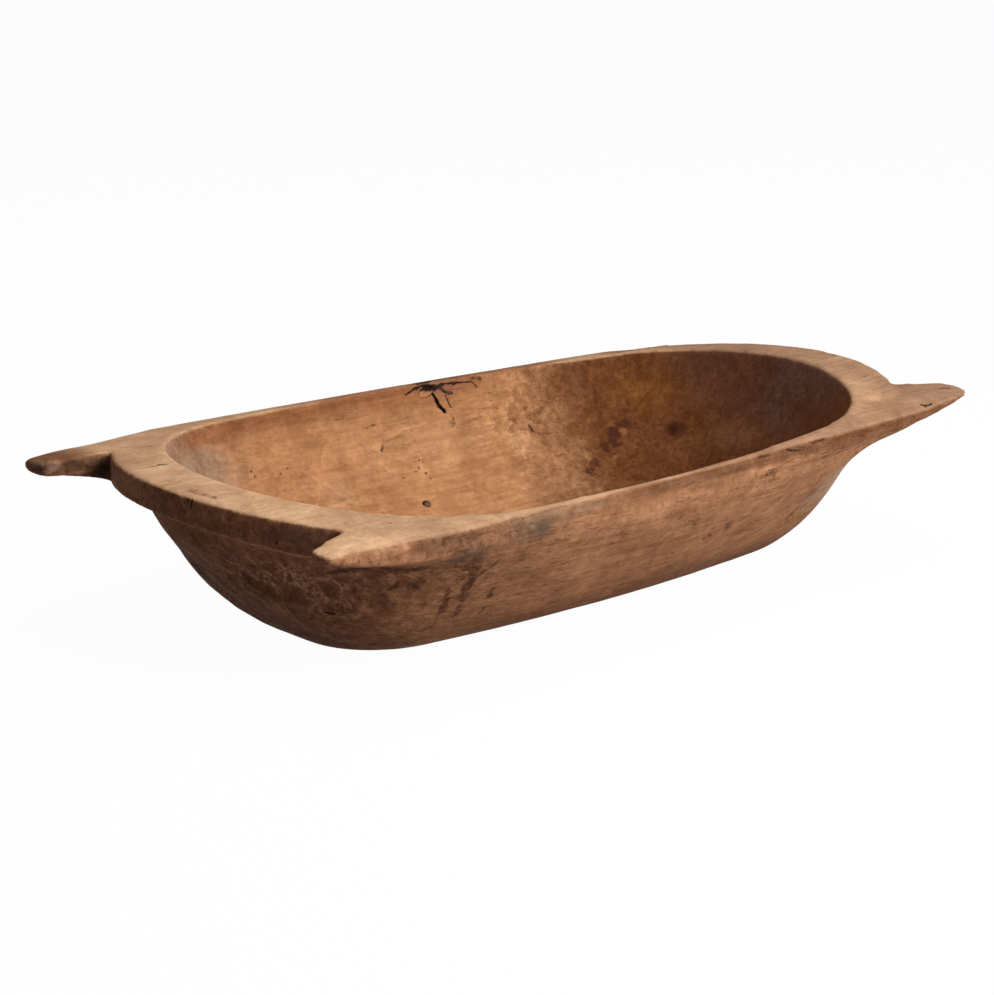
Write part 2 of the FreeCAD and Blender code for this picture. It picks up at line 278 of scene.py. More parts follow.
# Marks that are the object's own, and one painted shadow under the front left horn. A path is seen along Y
# inside the hollow ("well") and on the front, from above on the rim ("top"), and along X on the left end
# ("end"). Cracks are black, stains brown and scars pale, and the painted shadow is drawn as a stain.
Mark = namedtuple("Mark", "side kind path half_width strength depth")
MARKS = [
    # Bark pocket round the dead knot, with its legs, slot and cracks.
    Mark("well", "crack", [(62, 180), (72, 178), (80, 174)], 4.4, 0.85, 0.6),
    Mark("well", "crack", [(62, 178), (54, 176)], 1.8, 0.9, 0.5),
    Mark("well", "crack", [(54, 176), (47, 174), (35, 170)], 0.9, 0.75, 0.5),
    Mark("well", "crack", [(77, 165), (79, 158)], 1.6, 1.0, 2.0),
    Mark("well", "crack", [(79, 158), (81, 152), (86, 145)], 2.3, 1.0, 4.0),
    Mark("well", "crack", [(90, 172), (96, 166), (104, 164)], 2.4, 0.5, 0.5),
    Mark("well", "crack", [(94, 164), (97, 148)], 0.7, 0.6, 0.8),
    Mark("well", "stain_and_shadow", [(95, 140), (97, 125)], 0.9, 0.6, 0.3),
    Mark("well", "crack", [(80, 174), (98, 176), (112, 175)], 2.2, 0.62, 0.5),
    Mark("well", "crack", [(112, 175), (126, 174), (140, 173), (145, 166)], 1.2, 0.58, 0.5),
    Mark("well", "stain_and_shadow", [(116, 180), (134, 179), (152, 176)], 2.6, 0.7, 0.3),
    # Checks and tool scars across the back wall.
    Mark("well", "stain_and_shadow", [(152, 158), (162, 157)], 0.7, 0.6, 0.3),
    Mark("well", "stain_and_shadow", [(148, 151), (161, 148)], 0.7, 0.6, 0.3),
    Mark("well", "stain_and_shadow", [(202, 114), (203, 107)], 1.8, 0.8, 0.6),
    Mark("well", "stain_and_shadow", [(203, 107), (214, 101), (224, 95)], 0.7, 0.6, 0.3),
    Mark("well", "stain_and_shadow", [(-88, 156), (-68, 157)], 0.8, 0.5, 0.3),
    Mark("well", "stain_and_shadow", [(-54, 155), (-26, 155)], 0.8, 0.45, 0.3),
    Mark("well", "stain_and_shadow", [(-40, 141), (-22, 144)], 0.9, 0.5, 0.3),
    Mark("well", "stain_and_shadow", [(-19, 123), (-26, 114)], 1.3, 0.6, 0.5),
    Mark("well", "stain_and_shadow", [(97, 123), (107, 126), (119, 129), (136, 131)], 1.5, 0.5, 0.5),
    # Paler scars of the scraper.
    Mark("well", "scar", [(-8, 127), (18, 133), (40, 134), (53, 136)], 1.4, 0.8, 0.3),
    Mark("well", "scar", [(183, 114), (186, 96), (176, 85)], 1.5, 0.9, 0.3),
    Mark("well", "scar", [(172, 111), (167, 96), (163, 82)], 1.5, 0.8, 0.3),
    Mark("well", "scar", [(-68, 99), (-50, 104), (-34, 103), (-26, 92)], 1.5, 0.7, 0.3),
    Mark("well", "scar", [(-128, 95), (-117, 86), (-103, 73)], 1.6, 0.7, 0.3),
    Mark("well", "scar", [(27, 104), (24, 92), (16, 74)], 1.3, 0.6, 0.3),
    # Dark red blotches in the browner half of the hollow.
    Mark("well", "stain_and_shadow", [(306, 95), (300, 91), (296, 84)], 5.0, 0.9, 0.0),
    Mark("well", "stain_and_shadow", [(288, 82), (284, 77)], 4.5, 0.8, 0.0),
    Mark("well", "stain_and_shadow", [(264, 66), (252, 60), (245, 56)], 4.0, 0.75, 0.0),
    Mark("well", "stain_and_shadow", [(316, 104), (324, 106)], 5.0, 0.75, 0.0),
    # Runs and blotches on the front.
    Mark("front", "stain_and_shadow", [(-293, 100), (-287, 84)], 4.0, 0.5, 0.0),
    Mark("front", "stain_and_shadow", [(-287, 84), (-282, 66)], 4.6, 0.7, 0.0),
    Mark("front", "stain_and_shadow", [(-282, 66), (-277, 46), (-288, 41)], 2.2, 0.6, 0.0),
    Mark("front", "stain_and_shadow", [(-284, 136), (-276, 118)], 6.0, 0.65, 0.0),
    Mark("front", "stain_and_shadow", [(-272, 108), (-268, 86)], 5.0, 0.75, 0.0),
    Mark("front", "stain_and_shadow", [(-268, 86), (-262, 72), (-257, 56)], 4.0, 0.65, 0.0),
    Mark("front", "stain_and_shadow", [(-290, 147), (-292, 127)], 5.0, 0.5, 0.0),
    Mark("front", "stain_and_shadow", [(-234, 88), (-229, 76)], 3.4, 0.6, 0.0),
    Mark("front", "stain_and_shadow", [(-227, 62), (-223, 54)], 3.4, 0.6, 0.0),
    Mark("front", "stain_and_shadow", [(-258, 128), (-266, 118)], 4.0, 0.6, 0.0),
    Mark("front", "stain_and_shadow", [(-327, 116), (-327, 106)], 5.0, 0.7, 0.0),
    Mark("front", "stain_and_shadow", [(-344, 109), (-348, 106)], 3.5, 0.6, 0.0),
    Mark("front", "crack", [(-383, 73), (-379, 71)], 1.6, 0.8, 0.4),
    # Painted shadow under the front left horn's overhang, drawn as a brown stain.
    Mark("front", "stain_and_shadow", [(-394, 129), (-378, 134), (-357, 133), (-335, 135)], 4.5, 0.7, 0.0),
    Mark("front", "crack", [(158, 176), (163, 174), (170, 173)], 2.2, 0.5, 0.4),
    Mark("front", "stain_and_shadow", [(170, 173), (205, 166)], 5.0, 0.4, 0.0),
    Mark("front", "stain_and_shadow", [(112, 176), (128, 175)], 1.4, 0.65, 0.3),
    Mark("front", "stain_and_shadow", [(196, 178), (222, 176)], 1.4, 0.65, 0.3),
    Mark("front", "stain_and_shadow", [(126, 154), (138, 151)], 5.0, 0.5, 0.0),
    Mark("front", "stain_and_shadow", [(98, 97), (106, 90)], 6.0, 0.5, 0.0),
    Mark("front", "stain_and_shadow", [(70, 86), (82, 82)], 5.0, 0.45, 0.0),
    Mark("front", "stain_and_shadow", [(16, 120), (30, 114)], 7.0, 0.45, 0.0),
    Mark("front", "stain_and_shadow", [(252, 104), (247, 84), (244, 64)], 3.0, 0.5, 0.0),
    Mark("front", "stain_and_shadow", [(24, 44), (42, 42)], 5.0, 0.4, 0.0),
    # Checks, pits and stains of the rim, and the bark pocket's upper end.
    Mark("top", "crack", [(60, 263), (82, 263)], 5.0, 0.65, 0.4),
    Mark("top", "stain_and_shadow", [(92, 263), (136, 262)], 5.0, 0.6, 0.2),
    Mark("top", "crack", [(-464, 72), (-451, 73), (-442, 70)], 1.2, 0.85, 0.8),
    Mark("top", "stain_and_shadow", [(-482, -28), (-479, -44), (-474, -62)], 4.0, 0.6, 0.4),
    Mark("top", "stain_and_shadow", [(-376, -208), (-354, -217)], 1.6, 0.35, 0.0),
    Mark("top", "crack", [(408, -254), (413, -257), (419, -256)], 2.1, 0.62, 0.9),
    Mark("top", "stain_and_shadow", [(470, -226), (480, -234)], 2.4, 0.6, 0.2),
    Mark("top", "stain_and_shadow", [(433, -142), (441, -138)], 2.4, 0.5, 0.3),
    Mark("top", "stain_and_shadow", [(482, -52), (486, -42)], 1.6, 0.5, 0.3),
    Mark("end", "crack", [(-50, 199), (-50, 189)], 0.8, 0.9, 0.8),
    Mark("end", "crack", [(-44, 199), (-44, 193)], 0.7, 0.7, 0.6),
]
# Worm holes and specks on the back wall, as places along X and up Z.
SPECKS = [
    (23, 97), (11, 86), (-12, 82), (-87, 108), (-188, 115), (-165, 111), (-110, 143), (165, 138),
    (-231, 125), (-228, 119), (-175, 118), (-208, 144), (-85, 135), (17, 89), (24, 82), (27, 76),
]
MARKS += [
    Mark("well", "stain_and_shadow", [(x, z), (x + 1, z)], half_width=1.0, strength=0.7, depth=0.6) for x, z in SPECKS
]


def reach(p):
    """1 on the edge of the opening, less inside it and more outside."""
    along = np.abs(p[:, 0] / OPENING_LENGTH) ** OPENING_POWER
    across = np.abs(p[:, 1] / OPENING_WIDTH) ** OPENING_POWER
    return along + across


def in_hollow(p, n):
    """Which points lie on the walls or the floor of the hollow."""
    x, y, z = p.T
    inward = n[:, 0] * x / OPENING_LENGTH**2 + n[:, 1] * y / OPENING_WIDTH**2 < 0
    return (reach(p) < HOLLOW_REACH) & (z > HOLLOW_FLOOR) & (inward | (n[:, 2] > 0.4))


def side_of(p, n):
    """Which points lie on each side that marks are drawn on, and the two coordinates used there."""
    x, y, z = p.T
    flat = (n[:, 2] > 0.6) & (crown(y) - z < 5)
    hollow = ~flat & in_hollow(p, n)
    outside = ~flat & ~hollow
    return {
        "well": (hollow & (y > 0), x, z),
        "front": (outside & (y < 0) & (n[:, 1] < -0.1), x, z),
        "top": (flat, x, y),
        "end": (outside & (n[:, 0] < -0.4), y, z),
    }


def mark_gap(sides, mark):
    """Distance from a mark's path, far away on the sides where the mark isn't."""
    there, a, b = sides[mark.side]
    gap = np.full(len(a), 1e3)
    spots = np.flatnonzero(there)
    q = np.stack([a[spots], b[spots]], 1)
    for start, stop in zip(mark.path, mark.path[1:]):
        start = np.array(start, float)
        along = np.array(stop, float) - start
        t = np.clip((q - start) @ along / (along @ along), 0, 1)
        gap[spots] = np.minimum(gap[spots], np.linalg.norm(q - start - t[:, None] * along, axis=1))
    return gap


# A mark is refined out to so many of its half widths and a margin, down to edges of so many half widths.
REFINED_WIDTHS = 1.6
EDGE_WIDTHS = 0.6


def refine_beside_marks(mesh, rounds=3, margin=2.4, finest=1.1):
    """Splits the edges that lie along marks, down to a finest length, so that thin marks keep their shape."""
    for _ in range(rounds):
        p, n, edges = points_of(mesh), normals_of(mesh), edges_of(mesh)
        length = np.linalg.norm(p[edges[:, 0]] - p[edges[:, 1]], axis=1)
        sides = side_of(p[edges].mean(1), n[edges].mean(1))
        wanted = np.zeros(len(edges), bool)
        for mark in MARKS:
            near = mark_gap(sides, mark) < REFINED_WIDTHS * mark.half_width + margin
            wanted |= near & (length > max(finest, EDGE_WIDTHS * mark.half_width))
        bm = bmesh.new()
        bm.from_mesh(mesh)
        bm.edges.ensure_lookup_table()
        chosen = [bm.edges[k] for k in np.flatnonzero(wanted)]
        bmesh.ops.subdivide_edges(bm, edges=chosen, cuts=1, use_grid_fill=True)
        bmesh.ops.triangulate(bm, faces=[f for f in bm.faces if len(f.verts) > 3])
        bm.to_mesh(mesh)
        bm.free()


def zones(p, n):
    """Shares of rim, hollow and outside for each point, and of the left end, which is part of the outside."""
    _, y, z = p.T
    top = step(4.0, 1.2, crown(y) - z) * step(0.5, 0.8, n[:, 2]) * (z > RIM_ZONE)
    hollow = (1 - top) * in_hollow(p, n)
    outside = 1 - top - hollow
    left_end = outside * step(0.3, 0.7, -n[:, 0])
    return top, hollow, outside, left_end


def bold_facets(p, outside):
    """Share of the adze's bold facets, which show on the lower front left of the hull."""
    return outside * spot(p, (-405, -105, 108), (120, 160, 72)) * above_base(p[:, 2])


def scooped(near):
    """Height of a shallow scoop at a distance from its middle, in units of the scoop's size."""
    return 2.2 * near**2 - 0.5


def adze_scoops(p, outside, hollow):
    """Height of the tool's scoops: small outside and boldest on the left, wide and faint in the hollow."""
    x, _, z = p.T
    rough = outside * (0.25 + 0.6 * step(-180, -340, x)) * step(165, 140, z) + 1.6 * bold_facets(p, outside)
    wander = 4 * np.stack([noise(p, (12, 12, 12), seed, 2) for seed in SEEDS_WANDER], 1)
    lean = z[:, None] * np.array([0.4, -0.5, 0.0])
    height = rough * scooped(cells(p + lean + wander, FACET_SIZE, SEED_FACETS))
    height += hollow * 0.5 * scooped(cells(p, SCOOP_SIZE, SEED_SCOOPS))
    return height * above_base(z)


def rounded_by_wear(p, edges):
    """Points with rounded edges: a little everywhere, more round the rim, most on the front left lip."""
    x, y, z = p.T
    everywhere = np.where(z > BASE_EDGE, 0.5, 0.0)
    rim_edge = everywhere * step(14, 6, crown(y) - z) * (z > RIM_ZONE)
    lip = step(-470, -435, x) * step(-110, -190, x) * step(-222, -240, y)
    handled = everywhere * lip * step(162, 174, z)
    for share, rounds in ((everywhere, 5), (rim_edge, 6), (handled, 45)):
        p = eased(p, edges, share, rounds)
    return p


# Heights of the left end's swell and of its waist, and how far they spread: the swell less far up than down.
SWELL_HEIGHT = 126.0
SWELL_BELOW = 31.0
SWELL_ABOVE = 21.0
WAIST_HEIGHT = 55.0
WAIST_SPREAD = 24.0


def outline_terms(p, n, outside, left_end):
    """Heights of the bulges and hollows that the photo's outline shows and the solids leave out."""
    x, y, z = p.T
    towards_back = step(-120, 20, y)
    spread = np.where(z < SWELL_HEIGHT, SWELL_BELOW, SWELL_ABOVE)
    swell = np.exp(-(((z - SWELL_HEIGHT) / spread) ** 2)) * step(-370, -410, x)
    waist = np.exp(-(((z - WAIST_HEIGHT) / WAIST_SPREAD) ** 2))
    level = np.abs(n[:, 2])
    return [
        # The left end swells under its ledge and draws in below that.
        (3 + 6.5 * towards_back) * left_end * swell,
        -2.5 * towards_back * left_end * waist,
        # The back left horn is thicker, most of all at its blunt tip, and the back right horn is lower.
        3.0 * spot(p, (-532, 177, 189), (30, 30, 30)) * level,
        2.4 * spot(p, (-490, 195, 186), (80, 62, 40)) * level,
        -3.0 * spot(p, (445, 245, 180), (80, 50, 40)) * step(0.3, 0.8, n[:, 2]),
        # The front right horn is thinner underneath, and so is the wood where it meets the hull.
        -4.5 * step(340, 415, x) * step(470, 380, x) * step(-120, -170, y) * step(0.0, -0.6, n[:, 2]),
        -3.0 * outside * spot(p, (318, -262, 154), (70, 40, 26)),
    ]


def hew(mesh):
    """Rounds the worn edges and gives the surface its tool marks and unevenness."""
    edges = edges_of(mesh)
    p = rounded_by_wear(points_of(mesh), edges)
    set_points(mesh, p)
    n = normals_of(mesh)
    top, hollow, outside, left_end = zones(p, n)
    height = adze_scoops(p, outside, hollow)
    waves = 0.8 * noise(p, (170, 120, 90), SEED_WAVES, 2)
    lumps = 0.45 * noise(p, (55, 45, 40), SEED_LUMPS, 2)
    height += (1 - 0.6 * top) * (waves + lumps) * above_base(p[:, 2])
    for term in outline_terms(p, n, outside, left_end):
        height += term
    for _ in range(3):
        height = 0.5 * (height + beside(height, edges))
    set_points(mesh, p + n * height[:, None])


def carve_marks(mesh):
    """Cuts the marks into the surface and returns how strongly each kind of mark shows at each point."""
    p, n = points_of(mesh), normals_of(mesh)
    sides = side_of(p, n)
    ragged = noise(p, (9, 9, 9), SEED_MARK_EDGE, 3)
    depth = np.zeros(len(p))
    shade = {kind: np.zeros(len(p)) for kind in ("crack", "stain_and_shadow", "scar")}
    for mark in MARKS:
        gap = mark_gap(sides, mark) / mark.half_width * (1 + 0.8 * ragged)
        shade[mark.kind] = np.maximum(shade[mark.kind], mark.strength * step(2.2, 0.2, gap))
        depth = np.maximum(depth, mark.depth * step(1.2, 0.2, gap))
    set_points(mesh, p - n * depth[:, None])
    return shade


# Patches of other colours: where they lie, how far they reach, their colour and how far it covers the wood.
Patch = namedtuple("Patch", "centre radii colour share")
WELL_PATCHES = [
    # Paler, warmer wood along the middle of the back wall.
    Patch((40, 215, 112), (140, 70, 55), (0.44, 0.215, 0.10), 0.8),
    Patch((178, 207, 100), (34, 40, 36), (0.46, 0.23, 0.11), 0.8),
    Patch((-112, 198, 80), (40, 40, 24), (0.47, 0.25, 0.125), 0.8),
    # Amber and dark brown of the right end, and the reddish wood round the knot.
    Patch((352, 157, 142), (48, 60, 42), (0.205, 0.074, 0.019), 1.0),
    Patch((405, 110, 172), (45, 60, 30), (0.13, 0.05, 0.026), 0.7),
    Patch((285, 214, 156), (30, 40, 18), (0.15, 0.055, 0.025), 0.7),
    Patch((102, 251, 171), (44, 30, 12), (0.28, 0.105, 0.062), 0.85),
    # Pale flecks beside the dark blotches, then the darkest blotch and the wood round it.
    Patch((262, 176, 87), (7, 10, 7), (0.45, 0.24, 0.10), 0.6),
    Patch((260, 159, 70), (8, 10, 7), (0.42, 0.22, 0.09), 0.6),
    Patch((315, 152, 96), (6, 10, 6), (0.34, 0.16, 0.06), 0.5),
    Patch((288, 140, 69), (6, 10, 6), (0.34, 0.18, 0.08), 0.5),
    Patch((338, 100, 85), (45, 60, 26), (0.19, 0.07, 0.026), 0.8),
    Patch((358, 102, 100), (18, 18, 15), (0.06, 0.016, 0.009), 1.0),
    Patch((363, 96, 91), (10, 12, 10), (0.06, 0.016, 0.009), 1.0),
    Patch((385, 25, 105), (40, 60, 28), (0.24, 0.104, 0.048), 0.9),
]
SKIN_PATCHES = [
    # Grey weathering along the front's upper edge, and dirt beside it.
    Patch((-222, -264, 166), (66, 30, 24), (0.188, 0.107, 0.063), 0.85),
    Patch((-215, -264, 160), (16, 30, 16), (0.12, 0.078, 0.05), 0.7),
    Patch((-150, -266, 172), (60, 20, 10), (0.20, 0.12, 0.075), 0.6),
    Patch((-305, -252, 152), (44, 30, 18), (0.15, 0.078, 0.05), 0.85),
    Patch((-325, -259, 173), (85, 25, 18), (0.15, 0.068, 0.037), 0.85),
    Patch((-225, -245, 105), (60, 40, 40), (0.30, 0.135, 0.067), 0.6),
    # Paler wood round the front right corner of the hull.
    Patch((295, -215, 100), (60, 50, 75), (0.41, 0.265, 0.18), 0.85),
    # Hull and band of the left end.
    Patch((-488, -82, 186), (30, 60, 16), (0.29, 0.115, 0.056), 0.8),
    Patch((-460, -185, 176), (35, 48, 26), (0.095, 0.052, 0.036), 0.9),
    Patch((-495, 55, 187), (25, 60, 16), (0.32, 0.145, 0.07), 0.8),
    Patch((-415, 75, 90), (44, 80, 62), (0.10, 0.04, 0.022), 1.0),
    Patch((-419, -50, 92), (26, 42, 32), (0.11, 0.044, 0.026), 0.8),
    Patch((-420, -58, 97), (16, 18, 16), (0.22, 0.05, 0.025), 0.4),
    # Back left horn: dark face, pink facet, black nose, and painted shadow in the notch under it.
    Patch((-494, 167, 185), (46, 14, 16), (0.10, 0.05, 0.028), 1.0),
    Patch((-522, 167, 189), (13, 11, 11), (0.30, 0.165, 0.115), 1.0),
    Patch((-535, 175, 189), (15, 13, 16), (0.07, 0.036, 0.022), 1.0),
    # Painted shadow in the notch under the back left horn.
    Patch((-455, 172, 174), (40, 16, 24), (0.06, 0.03, 0.018), 1.0),
]


def patched(colours, p, patches):
    """Colours with patches laid over them, their edges broken up."""
    ragged = 1 + 0.35 * noise(p, (16, 16, 16), SEED_PATCH_EDGE, 3)
    for patch in patches:
        radii = np.array(patch.radii) * ragged[:, None]
        colours = mixed(colours, patch.colour, patch.share * spot(p, patch.centre, radii))
    return colours


def filled(p, colour):
    return np.tile(np.array(colour), (len(p), 1))


# Colours of the wood, as linear red, green and blue: the hollow, the outside and the rim.
WELL_ORANGE = (0.41, 0.19, 0.083)
WELL_GREYED = (0.31, 0.19, 0.118)
WELL_UNDER_RIM = (0.24, 0.088, 0.034)
WELL_TAN = (0.29, 0.13, 0.057)
# Browns of the hollow's right half and right end, partly stain and partly painted shade.
WELL_BROWN_SHADED = (0.155, 0.054, 0.018)
WELL_RIGHT_END_SHADED = (0.17, 0.066, 0.034)
WELL_RIGHT_FRONT = (0.20, 0.098, 0.064)
SKIN_BROWN = (0.385, 0.177, 0.087)
SKIN_FOOT = (0.235, 0.098, 0.05)
SKIN_UNDER_RIM = (0.18, 0.078, 0.037)
SKIN_LEFT = (0.34, 0.155, 0.077)
SKIN_LEFT_END = (0.22, 0.088, 0.046)
SKIN_LEFT_FOOT = (0.16, 0.066, 0.038)
RIM_TAN = (0.505, 0.29, 0.162)
RIM_DARKER = (0.47, 0.25, 0.13)
RIM_LEFT = (0.595, 0.35, 0.196)
RIM_LEFT_BACK = (0.53, 0.305, 0.168)
RIM_RIGHT = (0.395, 0.226, 0.127)
RIM_FRONT = (0.37, 0.20, 0.112)
RIM_RIGHT_HORN = (0.31, 0.175, 0.103)
RIM_LEFT_HORN = (0.18, 0.072, 0.03)
RIM_RIGHT_BACK = (0.335, 0.186, 0.11)
RIM_BACK_HORN = (0.30, 0.145, 0.085)
RIM_BACK = (0.28, 0.125, 0.06)


def well_colours(p, patchy):
    """The hollow: orange in the middle, greyed at the left end and browner to the right, the browning partly
    stain and partly painted shade.
    """
    x, y, z = p.T
    under_rim = 0.85 * step(148, 172, z + 12 * patchy) * step(190, 100, x) * step(-390, -300, x)
    right_end = step(370, 420, x + 25 * patchy)
    well = filled(p, WELL_ORANGE)
    well = mixed(well, WELL_GREYED, step(-210, -330, x + 40 * patchy))
    well = mixed(well, WELL_UNDER_RIM, under_rim)
    # Painted shade with the stain: browner and darker towards the right end, whose wall turns away from the
    # light.
    well = mixed(well, WELL_TAN, step(140, 200, x + 60 * patchy + 0.6 * (110 - z)))
    well = mixed(well, WELL_BROWN_SHADED, step(200, 300, x + 70 * patchy))
    well = mixed(well, WELL_RIGHT_END_SHADED, right_end)
    well = mixed(well, WELL_RIGHT_FRONT, right_end * step(30, -30, y))
    return patched(well, p, WELL_PATCHES)


def skin_colours(p, patchy, left_end):
    """The outside: brown, darker at its foot, under the rim and on the left end."""
    x, _, z = p.T
    skin = filled(p, SKIN_BROWN)
    skin = mixed(skin, SKIN_FOOT, step(60, 12, z + 12 * patchy))
    skin = mixed(skin, SKIN_UNDER_RIM, 0.95 * step(152, 174, z + 10 * patchy) * step(-120, -40, x))
    skin = mixed(skin, SKIN_LEFT, step(-150, -290, x + 50 * patchy))
    skin = mixed(skin, SKIN_LEFT_END, left_end)
    skin = mixed(skin, SKIN_LEFT_FOOT, 0.8 * step(60, 20, z) * step(-230, -330, x))
    return patched(skin, p, SKIN_PATCHES)


def rim_colours(p, patchy):
    """The rim: tan, palest at the left end and darker on the horns, the front and the back."""
    x, y, _ = p.T
    left_end = step(-380, -430, x)
    rim = filled(p, RIM_TAN)
    rim = mixed(rim, RIM_DARKER, 0.6 * step(0.1, 0.6, patchy))
    rim = mixed(rim, RIM_LEFT, left_end)
    rim = mixed(rim, RIM_LEFT_BACK, left_end * step(40, 120, y))
    rim = mixed(rim, RIM_RIGHT, step(380, 430, x))
    rim = mixed(rim, RIM_FRONT, step(-120, -40, x) * step(-205, -235, y))
    rim = mixed(rim, RIM_RIGHT_HORN, step(400, 450, x) * step(-150, -195, y))
    rim = mixed(rim, RIM_LEFT_HORN, step(-450, -500, x) * step(120, 160, y))
    rim = mixed(rim, RIM_RIGHT_BACK, step(-60, 60, y) * step(380, 440, x))
    rim = mixed(rim, RIM_BACK_HORN, step(330, 370, x) * step(195, 215, y))
    return mixed(rim, RIM_BACK, step(225, 245, y) * step(-180, -60, x) * step(330, 250, x))


def wood_colours(p, n):
    """Colour of the wood at each point, before grain: what light, dough, hands and dirt made of it."""
    top, hollow, outside, left_end = zones(p, n)
    patchy = noise(p, (70, 60, 50), SEED_PATCHY, 3)
    well = well_colours(p, patchy) * hollow[:, None]
    skin = skin_colours(p, patchy, left_end) * outside[:, None]
    return well + skin + rim_colours(p, patchy) * top[:, None]


def paint(mesh, shade):
    """Stores colours, dirt with painted shade, and wear on the mesh for the material."""
    p, n, edges = points_of(mesh), normals_of(mesh), edges_of(mesh)
    x, y, z = p.T
    top, hollow, outside, left_end = zones(p, n)
    tint(mesh, "tint", wood_colours(p, n))
    bulge = np.einsum("ij,ij->i", n, p - beside(p, edges))
    bulge = beside(beside(bulge, edges), edges)
    field(mesh, "facets", bold_facets(p, outside))
    ledge = outside * step(-300, -380, x) * step(10, 16, crown(y) - z)
    field(mesh, "worn", step(0.15, 0.6, bulge) * (1 - 0.8 * ledge))
    # Painted shade laid in with the grime: concave creases, the left end below its ledge and the right half
    # of the hollow are darkened.
    hidden = step(-0.1, -0.5, bulge)
    corner = outside * step(-190, -340, x)
    dirt_and_shade = 0.25 * left_end * step(178, 160, z) + 0.1 * corner + 0.3 * hollow * step(190, 300, x)
    field(mesh, "grime_and_shade", np.clip(dirt_and_shade + 0.6 * hidden, 0, 1))
    field(mesh, "grain", 0.55 * top + 0.7 * hollow + outside)
    field(mesh, "pores", 0.2 * top + 0.45 * hollow + outside)
    speckled = hollow * step(110, 220, x) * (1 - 0.5 * step(330, 400, x))
    field(mesh, "speckle", np.clip(speckled + 0.8 * corner + 0.45 * outside + 0.15 * top, 0, 1))
    field(mesh, "scrape", hollow * (step(-250, -350, x) + 0.6 * step(300, 380, x)))
    field(mesh, "figure", hollow * (0.3 + 0.9 * spot(p, (195, 225, 115), (75, 60, 50))))
    for kind, values in shade.items():
        field(mesh, kind, values)


class Shader:
    """Short ways to add nodes to one material."""

    # A Mix node's sockets share names, so those for colours are taken by place.
    MIX_SHARE = 0
    MIX_A = 6
    MIX_B = 7
    MIX_RESULT = 2
    # How much faster green and blue fade than red where a colour darkens.
    TONE_POWERS = (1.0, 1.2, 1.35)

    def __init__(self, name):
        self.material = bpy.data.materials.new(name)
        self.material.use_nodes = True
        self.tree = self.material.node_tree
        self.bsdf = self.tree.nodes["Principled BSDF"]

    def add(self, kind, **settings):
        node = self.tree.nodes.new("ShaderNode" + kind)
        for key, value in settings.items():
            setattr(node, key, value)
        return node

    def feed(self, socket, value):
        if isinstance(value, bpy.types.NodeSocket):
            self.tree.links.new(value, socket)
        elif value is not None:
            socket.default_value = value

    def math(self, operation, a, b=None, c=None):
        node = self.add("Math", operation=operation)
        for socket, value in zip(node.inputs, (a, b, c)):
            self.feed(socket, value)
        return node.outputs[0]

    def product(self, first, *others):
        for other in others:
            first = self.math("MULTIPLY", first, other)
        return first

    def around_zero(self, value, amount):
        """A noise times an amount, moved so that its mean is 0."""
        return self.math("MULTIPLY_ADD", value, amount, -amount / 2)

    def span(self, value, low, high, to_low=0.0, to_high=1.0):
        """Smooth change from to_low to to_high as value goes from low to high."""
        node = self.add("MapRange", interpolation_type="SMOOTHSTEP")
        for socket, given in zip(node.inputs, (value, low, high, to_low, to_high)):
            self.feed(socket, given)
        return node.outputs[0]

    def mix(self, share, a, b, blend="MIX"):
        node = self.add("Mix", data_type="RGBA", blend_type=blend)
        self.feed(node.inputs[self.MIX_SHARE], share)
        self.feed(node.inputs[self.MIX_A], a)
        self.feed(node.inputs[self.MIX_B], b)
        return node.outputs[self.MIX_RESULT]

    def stretch(self, vector, scale, shift=(0, 0, 0)):
        node = self.add("Mapping")
        self.feed(node.inputs["Vector"], vector)
        node.inputs["Scale"].default_value = scale
        node.inputs["Location"].default_value = shift
        return node.outputs[0]

    def noise(self, vector, scale, detail=4.0, rough=0.55, distort=0.0):
        node = self.add("TexNoise")
        self.feed(node.inputs["Vector"], vector)
        node.inputs["Scale"].default_value = scale
        node.inputs["Detail"].default_value = detail
        node.inputs["Roughness"].default_value = rough
        node.inputs["Distortion"].default_value = distort
        return node.outputs[0]

    def attribute(self, name, output="Fac"):
        return self.add("Attribute", attribute_name=name).outputs[output]

    def toned(self, colour, tone):
        """A colour made darker or lighter, redder as it darkens."""
        parts = self.add("CombineColor")
        for socket, power in zip(parts.inputs, self.TONE_POWERS):
            self.feed(socket, self.math("POWER", tone, power))
        return self.mix(1.0, colour, parts.outputs[0], "MULTIPLY")

    def bump(self, height, strength, distance):
        node = self.add("Bump")
        node.inputs["Strength"].default_value = strength
        node.inputs["Distance"].default_value = distance
        self.feed(node.inputs["Height"], height)
        self.feed(self.bsdf.inputs["Normal"], node.outputs[0])


# Height of the log's heart above the ground, and the width of a growth ring, both in metres.
HEART_HEIGHT = 0.26
RING_WIDTH = 0.006


def year_rings(s, place):
    """Sawtooth of the growth rings round the log's heart, which ran along X above the hollow."""
    wander = s.noise(s.stretch(place, (4, 13, 13)), 1.0, 4, 0.5, 0.6)
    parts = s.add("SeparateXYZ")
    s.feed(parts.inputs[0], place)
    across = parts.outputs["Y"]
    above = s.math("SUBTRACT", parts.outputs["Z"], HEART_HEIGHT)
    squares = s.math("ADD", s.product(across, across), s.product(above, above))
    radius = s.math("ADD", s.math("SQRT", squares), s.product(wander, 0.05))
    return s.math("FRACT", s.product(radius, 1 / RING_WIDTH))


